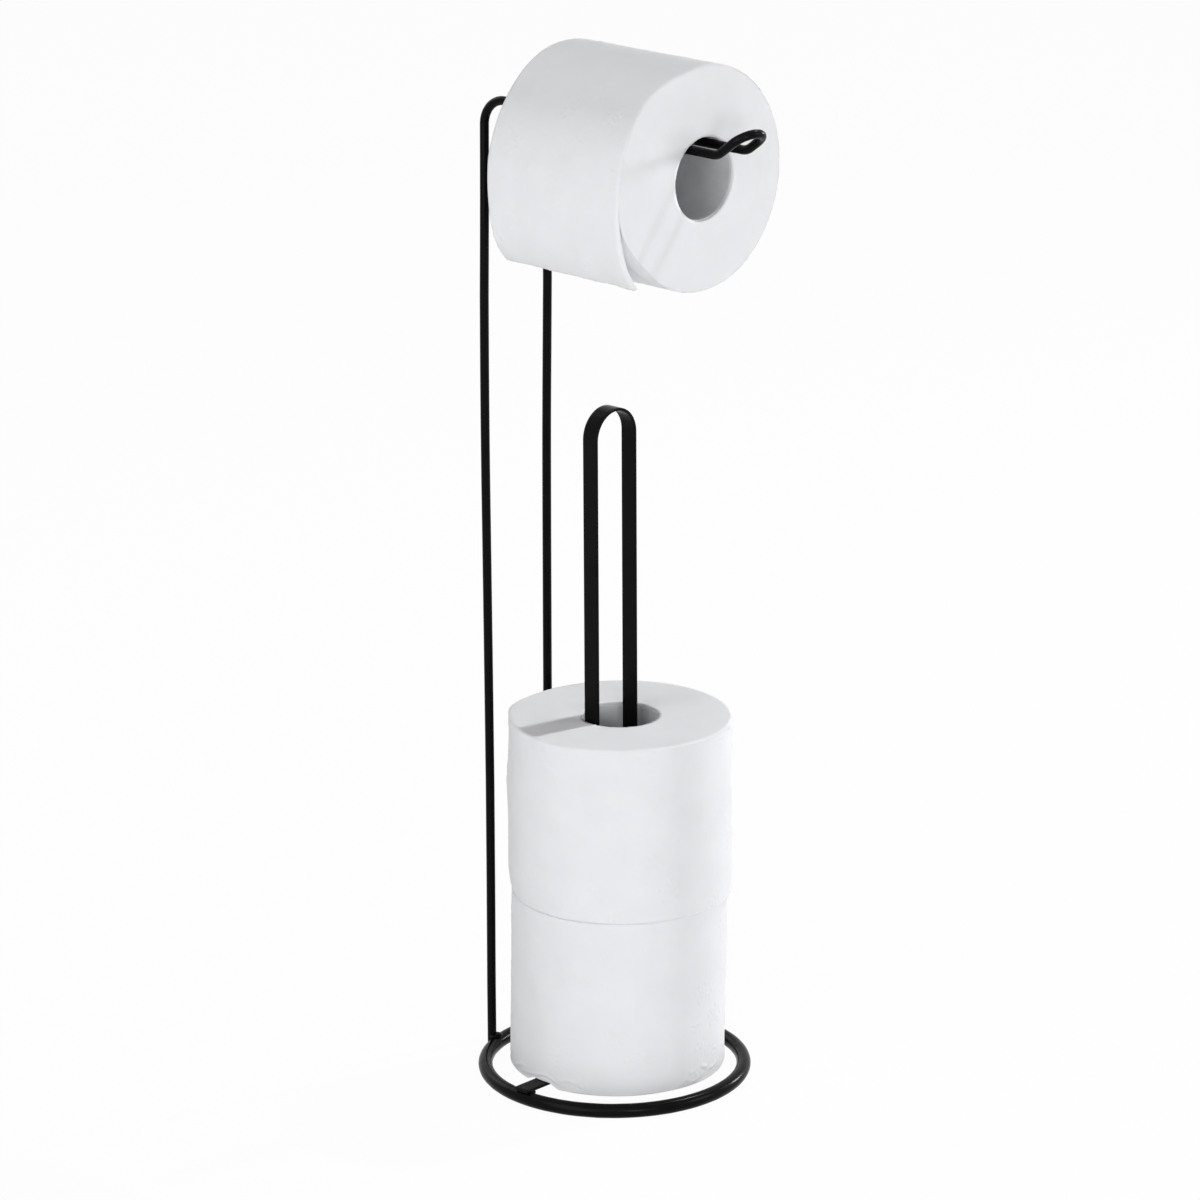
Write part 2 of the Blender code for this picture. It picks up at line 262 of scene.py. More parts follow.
# Cardboard tubes: the spiral of their seam, its groove and the step beside it
tube_spiral = 0.036
tube_groove = 0.00018
tube_groove_half = 0.0009
tube_step = 0.0001
tube_unevenness = 0.00003
tube_clearance = 0.0001

# Fineness
ring_steps = 360
bar_sides = 40
wire_sides = 28
wire_step = 0.0015
loop_steps = 40
strip_step = 0.002
paper_step = 0.0007
step_width = 0.0002
arc_step = radians(4)
rim_steps = 5
end_rows = 24
hung_body_steps = 600
hung_body_rows = 80
weld_rows = 36
weld_columns = 48
tube_rows = 110
tube_outer_rows = 8
tube_columns = 200

# Studio: the photo's camera, the floor and the surroundings
camera_azimuth = radians(-47.387)
camera_elevation = radians(17.119)
camera_distance = 3.1418
camera_target = Vector((0, stand_y, 0.290))
camera_roll = radians(-0.235)
camera_lens = 172.39
camera_shift = (-0.01047, -0.02115)
floor_half = 4
floor_grey = 0.8
floor_glow_share = 0.97
world_level = 0.05

# Soft boxes: azimuth and elevation in degrees, distance, diameter and power
soft_boxes = {
    "key": (75, 55, 2.2, 0.12, 17.4),
    "right": (76, 10, 2.2, 0.35, 19),
    "right_low": (30, 15, 2.2, 0.9, 10.2),
    "front": (-30, 8, 2.2, 0.7, 8.4),
    "over_camera": (-47, 30, 2.2, 1.4, 4.6),
    "left": (-80, 10, 2.4, 1.8, 20.0),
    "left_high": (-100, 35, 2.2, 1.2, 8.4),
    "back": (180, 30, 2.4, 1.4, 8.5),
}


# ---------------------------------------------------------------- meshes

def quad_mesh(name, places, faces, uvs=None, kinds=None):
    """A smooth mesh of four-cornered faces, with UVs in metres and a material number a face."""
    places = np.asarray(places, dtype=np.float32)
    faces = np.asarray(faces, dtype=np.int32)
    mesh = bpy.data.meshes.new(name)
    mesh.vertices.add(len(places))
    mesh.vertices.foreach_set("co", places.ravel())
    mesh.loops.add(faces.size)
    mesh.loops.foreach_set("vertex_index", faces.ravel())
    mesh.polygons.add(len(faces))
    mesh.polygons.foreach_set("loop_start", np.arange(0, faces.size, 4, dtype=np.int32))
    if kinds is not None:
        mesh.polygons.foreach_set("material_index", np.asarray(kinds, dtype=np.int32))
    mesh.update(calc_edges=True)
    if uvs is not None:
        layer = mesh.uv_layers.new(name="Surface")
        layer.data.foreach_set("uv", np.asarray(uvs, dtype=np.float32).ravel())
    mesh.validate()
    mesh.shade_smooth()
    return mesh


def grid_faces(rows, columns, closed_rows=False, closed_columns=False, start=0):
    """Faces of a grid of rows by columns of points, which may join up at either end."""
    row = np.arange(rows if closed_rows else rows - 1)
    column = np.arange(columns if closed_columns else columns - 1)
    row, column = np.meshgrid(row, column, indexing="ij")
    next_row = (row + 1) % rows
    next_column = (column + 1) % columns
    corners = [row * columns + column, row * columns + next_column]
    corners += [next_row * columns + next_column, next_row * columns + column]
    return start + np.stack(corners, axis=-1).reshape(-1, 4)


def grid_uvs(u, v):
    """UVs of the four corners of each face of a grid, from two arrays of its points."""
    uv = np.stack((u, v), axis=-1)
    corners = [uv[:-1, :-1], uv[:-1, 1:], uv[1:, 1:], uv[1:, :-1]]
    return np.stack(corners, axis=2).reshape(-1, 4, 2)


def closed_uvs(u, v):
    """The same for a grid that joins up both ways. A row's closing faces keep its last UV."""
    u, v = (np.pad(part, ((0, 1), (0, 0)), mode="wrap") for part in (u, v))
    u, v = (np.pad(part, ((0, 0), (0, 1)), mode="edge") for part in (u, v))
    return grid_uvs(u, v)


def add_piece(name, mesh, materials, body, slot, *nodes):
    """Show a mesh as a piece that rides on a body, in place of CAD nodes."""
    piece = bpy.data.objects.new(name, mesh)
    bpy.context.collection.objects.link(piece)
    for material in materials:
        mesh.materials.append(material)
    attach(piece, body)
    if nodes:
        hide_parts(*nodes)
    return piece


def waves(u, v, seed, count, shortest, longest):
    """Soft random waves between -1 and 1, roughly, over two arrays in metres."""
    dice = np.random.default_rng(seed)
    total = np.zeros_like(u)
    for _ in range(count):
        length = longest * (shortest / longest) ** dice.random()
        turn = dice.random() * 2 * pi
        phase = dice.random() * 2 * pi
        total += np.cos((u * cos(turn) + v * sin(turn)) * 2 * pi / length + phase)
    return total * (2 / count) ** 0.5 / 1.5


def round_waves(angle, v, seed, count, low, high, v_length):
    """Soft random waves that join up round a full turn, with low to high crests a turn."""
    dice = np.random.default_rng(seed)
    total = np.zeros_like(angle + v)
    for _ in range(count):
        crests = dice.integers(low, high + 1)
        slant = (dice.random() - 0.5) * 4 * pi / v_length
        phase = dice.random() * 2 * pi
        total = total + np.cos(angle * crests + v * slant + phase)
    return total * (2 / count) ** 0.5 / 1.5


def smooth(share):
    """A share from 0 to 1 that starts and ends gently, for numbers and arrays."""
    share = np.clip(share, 0, 1)
    return share * share * (3 - 2 * share)


def mound(distance, half):
    """A soft mound of height 1 over a distance from its middle."""
    return np.exp(-((distance / half) ** 2))


def turned_from(angle, middle):
    """How far an angle lies from a middle angle, between minus and plus half a turn."""
    return (angle - middle + pi) % (2 * pi) - pi


# ---------------------------------------------------------------- materials

class Nodes:
    """Short names for building one material's node tree."""

    def __init__(self, name):
        self.material = bpy.data.materials.new(name)
        self.material.use_nodes = True
        self.tree = self.material.node_tree
        self.shader = self.tree.nodes["Principled BSDF"]

    def add(self, kind, **settings):
        node = self.tree.nodes.new("ShaderNode" + kind)
        for name, value in settings.items():
            if hasattr(node, name):
                setattr(node, name, value)
            else:
                node.inputs[name.replace("_", " ").title()].default_value = value
        return node

    def link(self, start, end):
        self.tree.links.new(start, end)

    def scaled(self, source, scale):
        mapping = self.add("Mapping")
        mapping.inputs["Scale"].default_value = scale
        self.link(source, mapping.inputs["Vector"])
        return mapping.outputs["Vector"]

    def noise(self, vector, scale, detail=3.0, roughness=0.5):
        node = self.add("TexNoise", scale=scale, detail=detail, roughness=roughness)
        self.link(vector, node.inputs["Vector"])
        return node.outputs["Fac"]

    def between(self, factor, low, high):
        """A number that runs from low to high as the factor runs from 0.3 to 0.7."""
        node = self.add("MapRange")
        ends = {"From Min": 0.3, "From Max": 0.7, "To Min": low, "To Max": high}
        for name, value in ends.items():
            node.inputs[name].default_value = value
        self.link(factor, node.inputs["Value"])
        return node.outputs["Result"]

    def colours(self, factor, low, high):
        """A colour that runs from low to high as the factor runs from 0.3 to 0.7."""
        node = self.add("ValToRGB")
        first, last = node.color_ramp.elements
        first.position, first.color = 0.3, (*low, 1)
        last.position, last.color = 0.7, (*high, 1)
        self.link(factor, node.inputs["Fac"])
        return node.outputs["Color"]

    def bump(self, height, distance, strength, under=None):
        node = self.add("Bump", strength=strength, distance=distance)
        self.link(height, node.inputs["Height"])
        if under is not None:
            self.link(under, node.inputs["Normal"])
        return node.outputs["Normal"]


def coating_material():
    """Satin black powder coating: a fine orange peel, with a little dust in random patches."""
    n = Nodes("black_powder_coating")
    place = n.add("TexCoord").outputs["Object"]
    peel = n.noise(place, 1500, 2.0, 0.45)
    grain = n.noise(place, 6500, 1.0)
    patches = n.noise(place, 70, 3.0)
    base = n.colours(patches, (0.0024, 0.0024, 0.0027), (0.0040, 0.0040, 0.0044))
    n.link(base, n.shader.inputs["Base Color"])
    n.link(n.between(patches, 0.20, 0.27), n.shader.inputs["Roughness"])
    fine = n.bump(grain, 0.00002, 0.10)
    n.link(n.bump(peel, 0.00005, 0.08, fine), n.shader.inputs["Normal"])
    n.shader.inputs["Specular IOR Level"].default_value = 0.055
    return n.material


def tissue_material(name, ringed):
    """Soft white tissue. UVs are metres along the winding and across it, or out from the axis."""
    n = Nodes(name)
    place = n.add("TexCoord").outputs["UV"]
    if ringed:
        far = n.add("VectorMath", operation="LENGTH")
        n.link(place, far.inputs[0])
        rings = n.add("CombineXYZ")
        n.link(far.outputs["Value"], rings.inputs["X"])
        crepe_place = n.scaled(rings.outputs["Vector"], (12, 1, 1))
    else:
        crepe_place = n.scaled(place, (9, 1, 1))
    crepe = n.noise(crepe_place, 260, 3.0, 0.6)
    fibres = n.noise(place, 2600, 3.0, 0.65)
    clouds = n.noise(place, 45, 3.0)
    base = n.colours(clouds, (0.858, 0.864, 0.886), (0.886, 0.892, 0.914))
    n.link(base, n.shader.inputs["Base Color"])
    fine = n.bump(fibres, 0.00006, 0.4)
    n.link(n.bump(crepe, 0.00012, 0.2 if ringed else 0.3, fine), n.shader.inputs["Normal"])
    n.shader.inputs["Roughness"].default_value = 0.93
    n.shader.inputs["Specular IOR Level"].default_value = 0.15
    n.shader.inputs["Sheen Weight"].default_value = 0.06
    n.shader.inputs["Sheen Roughness"].default_value = 0.6
    return n.material


def board_material():
    """Grey recycled cardboard with the fibres and specks of waste paper."""
    n = Nodes("grey_core_board")
    place = n.add("TexCoord").outputs["UV"]
    fibres = n.noise(n.scaled(place, (1, 5, 1)), 900, 4.0, 0.7)
    clouds = n.noise(place, 90, 3.0)
    clouds_part = n.add("Math", operation="MULTIPLY")
    n.link(clouds, clouds_part.inputs[0])
    clouds_part.inputs[1].default_value = 0.4
    mix = n.add("Math", operation="MULTIPLY_ADD")
    n.link(fibres, mix.inputs[0])
    mix.inputs[1].default_value = 0.6
    n.link(clouds_part.outputs[0], mix.inputs[2])
    base = n.colours(mix.outputs[0], (0.54, 0.545, 0.56), (0.68, 0.685, 0.70))
    n.link(base, n.shader.inputs["Base Color"])
    n.link(n.bump(fibres, 0.00008, 0.5), n.shader.inputs["Normal"])
    n.shader.inputs["Roughness"].default_value = 0.88
    n.shader.inputs["Specular IOR Level"].default_value = 0.25
    return n.material


coating = coating_material()
tissue = tissue_material("tissue_side", False)
tissue_end = tissue_material("tissue_end", True)
board = board_material()


# ---------------------------------------------------------------- steel

def rounded_path(corners, radii):
    """Points along straight runs through the corners, each inner corner rounded."""
    points = [corners[0]]
    for before, corner, after, radius in zip(corners, corners[1:], corners[2:], radii):
        into = (corner - before).normalized()
        out = (after - corner).normalized()
        turn = into.angle(out)
        start = corner - into * (radius * tan(turn / 2))
        centre = corner + (out - into).normalized() * (radius / cos(turn / 2))
        steps = max(int(turn / arc_step), 2)
        for place in range(steps + 1):
            swing = Matrix.Rotation(turn * place / steps, 3, into.cross(out))
            points.append(centre + swing @ (start - centre))
    points.append(corners[-1])
    return points


def evened(points, longest):
    """The same path with extra points wherever two are further apart than the longest step."""
    out = [points[0]]
    for past, here in zip(points, points[1:]):
        length = (here - past).length
        if length < 1e-6:
            continue
        count = max(int(length / longest), 1)
        out += [past.lerp(here, place / count) for place in range(1, count + 1)]
    return out


def directed(points):
    """A path as an array, and its direction at each point."""
    path = np.array([tuple(point) for point in points])
    along = np.gradient(path, axis=0)
    return path, along / np.linalg.norm(along, axis=1)[:, None]


def sides_along(along):
    """A side direction for each direction of a path, from +X on, that doesn't twist."""
    aside = np.zeros_like(along)
    side = np.array((1.0, 0.0, 0.0))
    for place, way in enumerate(along):
        side = side - way * side.dot(way)
        side = side / np.linalg.norm(side)
        aside[place] = side
    return aside


def capped(grid, path, along, section, steps):
    """A bar's grid with rows added that close its ends.

    Section is the bar's cross-section at each point of the path. Each step is the share of it that
    a row keeps, and how far out the row lies."""
    caps = []
    for end, sign in ((0, -1), (-1, 1)):
        caps.append([
            path[end] + section[end] * share + along[end] * sign * out for share, out in steps
        ])
    return np.concatenate((caps[0][::-1], grid, caps[1]))


def bar_mesh(name, grid):
    """A mesh of a capped bar's grid."""
    faces = grid_faces(len(grid), grid.shape[1], False, True)
    return quad_mesh(name, grid.reshape(-1, 3), faces)


def base_ring():
    """The ring of round bar, with the ground-flush joint of its two ends at the back."""
    around = np.arange(ring_steps) * 2 * pi / ring_steps
    section = np.arange(bar_sides) * 2 * pi / bar_sides
    around, section = np.meshgrid(around, section, indexing="ij")
    uneven = round_waves(around, section * bar_radius, 4, 12, 5, 60, 0.02)
    joint = mound((around - pi / 2) * ring_radius, ring_joint_half)
    radius = bar_radius + ring_unevenness * uneven - ring_joint_depth * joint
    far = ring_radius + radius * np.cos(section)
    height = np.maximum(bar_radius + radius * np.sin(section), ring_floor_gap)
    places = np.stack((far * np.cos(around), stand_y + far * np.sin(around), height), axis=-1)
    faces = grid_faces(ring_steps, bar_sides, True, True)
    mesh = quad_mesh("base_ring_bar", places.reshape(-1, 3), faces)
    add_piece("base_ring_bar", mesh, [coating], "stand", "black_coating", "base_ring")


def fold_up(point, fold_y):
    """Where a point of the flat arm goes once its tip is folded up."""
    forward = Vector((-sin(fold_skew), -cos(fold_skew), 0))
    ahead = (point - Vector((0, fold_y, arm_height))).dot(forward)
    if ahead <= 0:
        return point
    curved = min(ahead, fold_radius * fold_angle)
    straight = ahead - curved
    turn = curved / fold_radius
    run = fold_radius * sin(turn) + straight * cos(turn)
    rise = fold_radius * (1 - cos(turn)) + straight * sin(turn)
    return point + forward * (run - ahead) + Vector((0, 0, rise))


def sprung(point):
    """Where a point of the drawn wire lies once the frame is welded and carries a roll."""
    bow = float(np.interp(point.z, frame_bow_heights, frame_bow_sizes))
    lean_share = (point.z - frame_lean_start) / (frame_lean_end - frame_lean_start)
    lean = frame_lean * float(smooth(lean_share))
    upright_share = float(smooth((point.y - upright_y + spring_fade_start) / spring_fade_run))
    side = 1 if point.x > 0 else -1
    return point + Vector((side * bow * upright_share, -lean * upright_share, 0))


def frame_path():
    """The whole wire: up one side, round the loop at the tip and down the other side."""
    top_z = arm_height + neck_drop
    way = Vector((arm_x - upright_x, -neck_run, -neck_drop))
    tangent = neck_bend_radius * tan(way.angle(Vector((0, -1, 0))) / 2)
    neck_y = upright_y - top_bend_radius - top_flat_length - tangent
    throat_y = neck_y - neck_run
    hung_back_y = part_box("hung_roll_paper")[1][1]
    fold_y = hung_back_y - fold_reach
    loop_start_y = fold_y - loop_run
    sides = []
    for side in (-1, 1):
        corners = [
            Vector((side * upright_x, upright_y, upright_foot_z)),
            Vector((side * upright_x, upright_y, top_z)),
            Vector((side * upright_x, neck_y, top_z)),
            Vector((side * arm_x, throat_y, arm_height)),
            Vector((side * arm_x, loop_start_y, arm_height)),
        ]
        points = rounded_path(corners, [top_bend_radius, neck_bend_radius, neck_bend_radius])
        sides.append([sprung(point) for point in evened(points, wire_step)])
    loop = []
    for step in range(1, loop_steps):
        angle = pi * step / loop_steps
        loop.append(Vector((-arm_x * cos(angle), loop_start_y - arm_x * sin(angle), arm_height)))
    flat = sides[0] + loop + sides[1][::-1]
    return [fold_up(point, fold_y) for point in flat]


def wire_frame():
    """The bent wire, a touch uneven from bending and coating, with rounded ends."""
    path, along = directed(frame_path())
    aside = sides_along(along)
    other = np.cross(along, aside)
    angle = np.arange(wire_sides) * 2 * pi / wire_sides
    ring = np.cos(angle)[None, :, None] * aside[:, None, :]
    ring = ring + np.sin(angle)[None, :, None] * other[:, None, :]
    run = np.concatenate(([0], np.cumsum(np.linalg.norm(np.diff(path, axis=0), axis=1))))
    u, v = np.meshgrid(run, angle * wire_radius, indexing="ij")
    reach = wire_radius + wire_unevenness * waves(u, v, 7, 10, 0.010, 0.08)
    grid = path[:, None, :] + ring * reach[:, :, None]
    turns = [step * pi / 2 for step in (0.35, 0.7, 0.95)]
    steps = [(cos(turn), wire_radius * cap_bulge * sin(turn)) for turn in turns]
    mesh = bar_mesh("wire_frame_wire", capped(grid, path, along, ring * wire_radius, steps))
    add_piece("wire_frame_wire", mesh, [coating], "stand", "black_coating", "wire_frame")


def strip_section():
    """Points round the strip's cross-section, as (across its width, through its thickness)."""
    half_width = post_width / 2 - post_edge_radius
    half_thick = post_thickness / 2 - post_edge_radius
    signs = ((1, 1), (-1, 1), (-1, -1), (1, -1))
    points = []
    for side, (x, y) in enumerate(signs):
        next_x, next_y = signs[(side + 1) % 4]
        for step in range(5):
            points.append((x, y, pi / 2 * (side + step / 4)))
        for step in range(1, 6):
            share = step / 6
            between = (x + (next_x - x) * share, y + (next_y - y) * share)
            points.append((*between, pi / 2 * (side + 1)))
    x, y, angle = np.array(points).T
    across = x * half_width + post_edge_radius * np.cos(angle)
    through = y * half_thick + post_edge_radius * np.sin(angle)
    return np.stack((across, through), axis=-1)


def spare_roll_post():
    """The flat strip bent to a hairpin, with its feet turned out onto the ring."""
    corners = [
        Vector((-post_reach, post_y, post_foot_z)),
        Vector((-post_leg_x, post_y, post_foot_z)),
        Vector((-post_leg_x, post_y, post_top_z)),
        Vector((post_leg_x, post_y, post_top_z)),
        Vector((post_leg_x, post_y, post_foot_z)),
        Vector((post_reach, post_y, post_foot_z)),
    ]
    bends = [post_foot_bend_radius, post_top_bend_radius]
    path = evened(rounded_path(corners, bends + bends[::-1]), strip_step)
    path = [
        point + Vector((0, post_lean_share * max(point.z - post_foot_z, 0), 0)) for point in path
    ]
    path, along = directed(path)
    wide = np.zeros_like(path) + np.array((0.0, 1.0, 0.0))
    wide = wide - along * np.sum(along * wide, axis=1)[:, None]
    wide /= np.linalg.norm(wide, axis=1)[:, None]
    thick = np.cross(along, wide)
    flat = strip_section()
    section = flat[None, :, :1] * wide[:, None, :] + flat[None, :, 1:] * thick[:, None, :]
    grid = path[:, None, :] + section
    steps = ((0.85, 0.0002), (0.4, 0.0003), (0.02, 0.0003))
    mesh = bar_mesh("hairpin_post", capped(grid, path, along, section, steps))
    add_piece("hairpin_post", mesh, [coating], "stand", "black_coating", "spare_roll_post")


def weld_bead(name, node, seed):
    """A lump of weld with the ripples of its passes, sunk a little into what it joins."""
    low, high = (np.array(corner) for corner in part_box(node))
    centre = (low + high) / 2
    half = (high - low) / 2 * weld_fill
    tilt = np.linspace(0.02, pi - 0.02, weld_rows)[:, None]
    around = (np.arange(weld_columns) * 2 * pi / weld_columns)[None, :]
    x = np.sin(tilt) * np.cos(around)
    y = np.sin(tilt) * np.sin(around)
    z = np.cos(tilt) + 0 * around
    lumps = waves(x * half[0] + z * half[2], y * half[1], seed, 12, 0.002, 0.008)
    outward = 1 + weld_lumps * lumps + weld_ripples * np.cos(x * 14 + y * 3)
    places = centre + np.stack((x, y, z), axis=-1) * half * outward[..., None]
    mesh = bar_mesh(name, places)
    add_piece(name, mesh, [coating], "stand", "black_coating", node)


# ---------------------------------------------------------------- paper

def embossed(u, v):
    """Height of the raised pattern: four-petalled marks and dots in offset rows, some worn."""
    raised = np.zeros_like(u)
    row_height = emboss_spacing * 0.75
    row = np.round(v / row_height)
    shifted = u + (row % 2) * emboss_spacing / 2
    column = np.round(shifted / emboss_spacing)
    local_u = shifted - column * emboss_spacing
    local_v = v - row * row_height
    for petal in range(4):
        angle = pi / 4 + petal * pi / 2
        along = local_u * cos(angle) + local_v * sin(angle) - petal_offset
        across = -local_u * sin(angle) + local_v * cos(angle)
        far = (along / petal_length) ** 2 + (across / petal_width) ** 2
        raised = np.maximum(raised, mound(far - 1, petal_edge))
    for dot_u, dot_v in dot_places:
        far = (local_u - dot_u * emboss_spacing) ** 2 + (local_v - dot_v * emboss_spacing) ** 2
        raised = np.maximum(raised, dot_height * np.exp(-far / dot_radius**2))
    # A fixed scatter of strengths, most of them faint, one for each mark
    strength = (np.sin(row * 12.9898 + column * 78.233) * 43758.5453) % 1
    return raised * (emboss_faint_share + (1 - emboss_faint_share) * strength**3)


def soft_side(u, angle, v, seed):
    """How far soft wound paper stands in or out over its side: embossing, waves and ripples."""
    relief = emboss_depth * (embossed(u, v) - emboss_level)
    relief = relief + side_waves * round_waves(angle, v, seed, 14, 2, 14, 0.10)
    return relief + side_ripples * round_waves(angle, v, seed + 1, 24, 20, 90, 0.05)


def end_relief(angle, far, seed):
    """How far the edges of the turns stand in or out over a roll's end."""
    relief = end_waves * round_waves(angle, far, seed + 2, 10, 1, 4, 0.05)
    dice = np.random.default_rng(seed + 3)
    for _ in range(14):
        length = turn_ridge_spacing * (9 ** dice.random())
        phase = dice.random() * 2 * pi
        wander = 0.4 * np.cos(angle + phase)
        relief = relief + turn_ridges * np.cos(far * 2 * pi / length + phase + wander)
    return relief


def torn_lip(size, angle, seed):
    """How far the torn edge of a roll's inner turns reaches in, at angles round it."""
    return size * (1 + lip_torn_share * round_waves(angle, 0, seed, 16, 8, 60, 1.0))


def wound_roll(radius, width, rim_radii, lip, seed, outline, side_rows, angle_steps):
    """A closed body of wound paper on the Z axis, from z 0 to its width.

    Its two outer rims have a radius each, lip(angle, end) is how far its inner turns reach in over
    the end of the core, and outline(angle, share) gives the outer radius at an angle and a share
    of the width.
    Columns run once round, and the last one sits beside the first across a small step."""
    bore = core_inner_radius + core_wall
    angle = np.linspace(0, 2 * pi - step_width / radius, angle_steps)
    rows = []
    kinds = []

    def add_row(far, height, kind, v):
        rows.append([far + 0 * angle, height + 0 * angle, v + 0 * angle])
        kinds.append(kind)

    def add_end(end):
        """The rows over an end from the bore to the rim, or back, as the grid runs."""
        edge = outline(angle, end)
        start = bore - lip(angle, end)
        for step in (range(end_rows), range(end_rows - 1, -1, -1))[end]:
            share = step / (end_rows - 1)
            far = start + (edge - rim_radii[end] - start) * share
            fade = np.clip((1 - share) * 6, 0, 1) * np.clip(share * 8, 0, 1)
            relief = end_relief(angle, far, seed + 10 * end) * fade
            if end:
                add_row(far, width + np.minimum(relief, end_limit), 1, far)
            else:
                add_row(far, np.maximum(-relief, -end_limit), 1, far)

    def add_rim(end):
        """The rows round a rim, from the end to the side, or back."""
        edge = outline(angle, end)
        for step in (range(1, rim_steps), range(rim_steps - 1, 0, -1))[end]:
            turn = pi / 2 * step / rim_steps
            inward = rim_radii[end] * (1 - cos(turn))
            height = width - inward if end else inward
            add_row(edge - rim_radii[end] * (1 - sin(turn)), height, 0, width * end)

    for share in (1, 0.5, 0):
        add_row(bore, bore_lip_depth + (width - 2 * bore_lip_depth) * share, 1, 0.0)
    add_end(0)
    add_rim(0)
    for share in np.linspace(rim_radii[0] / width, 1 - rim_radii[1] / width, side_rows):
        relief = soft_side(angle * radius, angle, share * width + 0 * angle, seed)
        add_row(outline(angle, share) + relief, share * width, 0, share * width)
    add_rim(1)
    add_end(1)
    far, height, v = np.array(rows).transpose(1, 0, 2)
    places = np.stack((far * np.cos(angle), far * np.sin(angle), height), axis=-1)
    faces = grid_faces(len(far), angle_steps, True, True)
    side_uvs = closed_uvs(np.broadcast_to(angle * radius, far.shape), v)
    end_uvs = closed_uvs(places[..., 0], places[..., 1])
    face_kinds = np.repeat(np.array(kinds), angle_steps)
    uvs = np.where(face_kinds[:, None, None] == 1, end_uvs, side_uvs)
    return places, faces, uvs, face_kinds


def folded(places, radius, turned, creases):
    """A roll's places, its axis at X and Y 0, with short folds pressed into its side.

    They fade out within a few millimetres inwards from the side."""
    far = np.hypot(places[:, 0], places[:, 1])
    on_side = smooth((far - radius + crease_fade_start) / crease_fade_run)
    for middle, half, height, slant, depth in creases:
        along = turned - radians(middle)
        wander = crease_wander * np.sin(along * crease_wander_crests + middle)
        across = (places[:, 2] - (height + slant * along + wander)) / crease_width
        fold = mound(across, 1) - crease_hollow_share * mound(across + crease_hollow_place, 1)
        fold = fold * np.exp(-((along / radians(half)) ** 4))
        places[:, :2] *= (1 + on_side * depth * fold / far)[:, None]
    return places


def on_foot(places, foot_z):
    """A roll's soft lower end where it rests on the post's foot and sinks down beside it."""
    near = 1 - smooth((places[:, 2] - foot_z) / sinking_height)
    places[:, 2] -= foot_settling * near
    beside = smooth((abs(places[:, 1] - post_y) - post_width / 2 - sinking_clearance) / sinking_run)
    places[:, 2] -= sinking * near * beside
    return places


def on_roll(places, foot_z, turned, seed):
    """A roll's soft lower end where it settles unevenly on the roll below."""
    pressed = 1 - smooth((places[:, 2] - foot_z) / seam_settling_height)
    uneven = 1 - seam_unevenness * (1 - round_waves(turned, 0, seed, 8, 2, 9, 1.0))
    places[:, 2] -= seam_settling * pressed * uneven
    return places


def spare_roll(name, body, node, radius, rim_radii, seed, seam_angle, bulges, creases, topmost):
    """A spare roll standing on the post, its last sheet stuck down at a seam.

    Bulges say how far it stands out on its -X side and on its right side, from its lower to its
    upper end. The topmost roll stands on the other one, and has the lobes in its rim and bore.
    Creases are short folds in its side: middle and half width as angles, height, slant, depth."""
    low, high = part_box(node)
    width = high[2] - low[2]
    centre = ((low[0] + high[0]) / 2, (low[1] + high[1]) / 2, low[2])
    steps = int(2 * pi * radius / paper_step)

    def outline(angle, share):
        uneven = roundness_waves * round_waves(angle, share * width, seed + 5, 8, 2, 7, 0.2)
        bulge = fullness
        for middle, sizes in zip((left_side_angle, right_side_angle), bulges):
            turned = turned_from(angle + seam_angle, middle)
            bulge = bulge + np.interp(share, bulge_shares, sizes) * mound(turned, side_half_angle)
        if topmost:
            turned = turned_from(angle + seam_angle, rim_lobe_angle)
            pushed = smooth((share - rim_lobe_start) / rim_lobe_run)
            bulge = bulge + rim_lobe * pushed * mound(turned, rim_lobe_half)
        return radius - sheet_thickness * angle / (2 * pi) + uneven + bulge

    def lip(angle, end):
        inward = torn_lip(bore_lip, angle, seed + 7 + end)
        if topmost and end:
            turned = turned_from(angle + seam_angle, lip_lobe_angle)
            inward = inward + lip_lobe * mound(turned, lip_lobe_half)
        return inward

    places, faces, uvs, kinds = wound_roll(
        radius, width, rim_radii, lip, seed, outline, int(width / paper_step), steps
    )
    swing = np.array(Matrix.Rotation(seam_angle, 3, "Z"))
    places = places.reshape(-1, 3) @ swing.T
    turned = np.arctan2(places[:, 1], places[:, 0]) % (2 * pi)
    places = folded(places, radius, turned, creases) + np.array(centre)
    if topmost:
        places = on_roll(places, centre[2], turned, seed + 6)
    else:
        places = on_foot(places, centre[2])
    mesh = quad_mesh(name, places, faces, uvs, kinds)
    add_piece(name, mesh, [tissue, tissue_end], body, "paper", node)


def lift_at(angle, share):
    """Lift of the slack turns at an angle and a share of the width, from the back to the front."""
    bulge = back_bulge * (1 - share) * mound(angle - back_bulge_angle, back_bulge_half)
    return slack_back_lift + (slack_front_lift - slack_back_lift) * share + bulge


def slack(angle, share):
    """How far the slack turns stand off the roll, at an angle round it and a share of its width.

    Away from the roll's front face they reach further round under the tail."""
    angle = angle % (2 * pi)
    behind = slack_behind_angle * smooth((1 - share) / slack_face_run)
    rising = smooth((angle - slack_start_angle) / (slack_full_angle - slack_start_angle))
    fallen = (angle - slack_fall_angle - behind) / (slack_end_angle - slack_fall_angle)
    return lift_at(angle, share) * rising * (1 - smooth(fallen))


def hung_place(far, angle, share, axis):
    """World places for radii and angles round the hung roll, and shares from back to front."""
    x, z, back, front = axis
    y = back + (front - back) * share + 0 * far
    return np.stack((x - far * np.sin(angle), y, z + far * np.cos(angle)), axis=-1)


